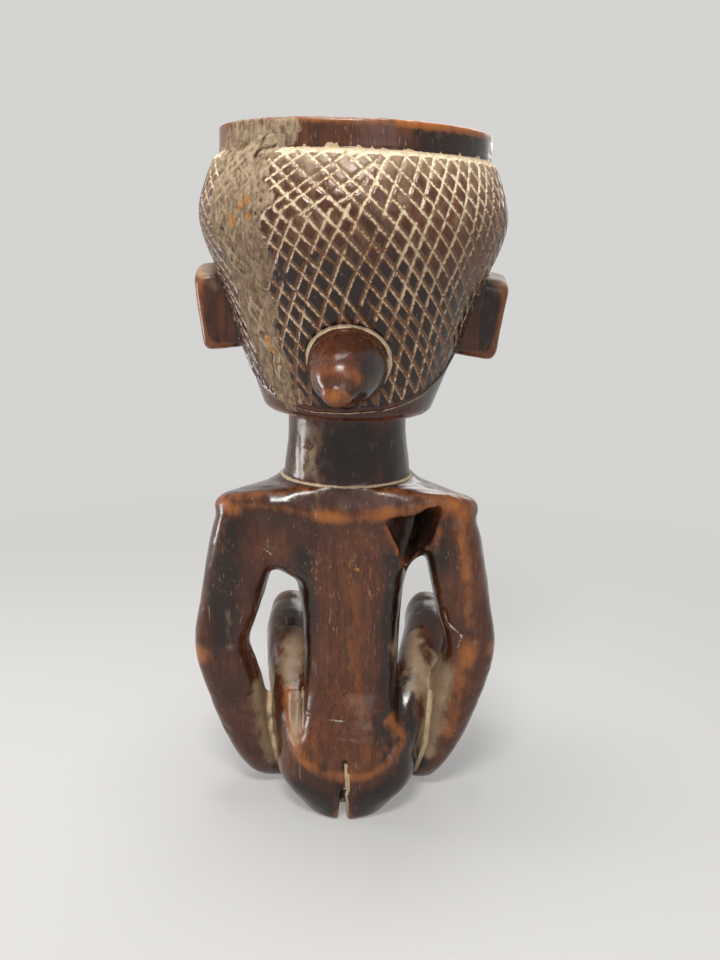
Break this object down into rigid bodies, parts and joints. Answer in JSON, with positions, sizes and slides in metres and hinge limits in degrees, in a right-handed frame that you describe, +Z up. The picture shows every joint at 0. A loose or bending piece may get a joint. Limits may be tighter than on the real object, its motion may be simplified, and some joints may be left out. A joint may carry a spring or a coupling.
{
  "type": "drinking cup",
  "caption": "Wooden drinking cup carved as a squatting figure, with the hollow head as the bowl, free arms and a knob at the back of the hair.",
  "frame": {"origin": "centre of the bounding box on the flat underside", "axes": "+Z up to the rim, +Y towards the figure's face, -Y towards its back and the knob, +X towards its right hand"},
  "size_m": [0.0906, 0.0905, 0.1997],
  "materials": {
    "polished_wood": "dark red-brown to black polished hardwood, worn orange on the edges, with pale residue in the cuts",
    "repair_filler": "old grey-brown repair filler, matt and lumpy"
  },
  "bodies": {
    "root": {"carved_cup": "polished_wood", "bowl_crack_filler": "repair_filler", "neck_crack_filler": "repair_filler"}
  },
  "joints": []
}
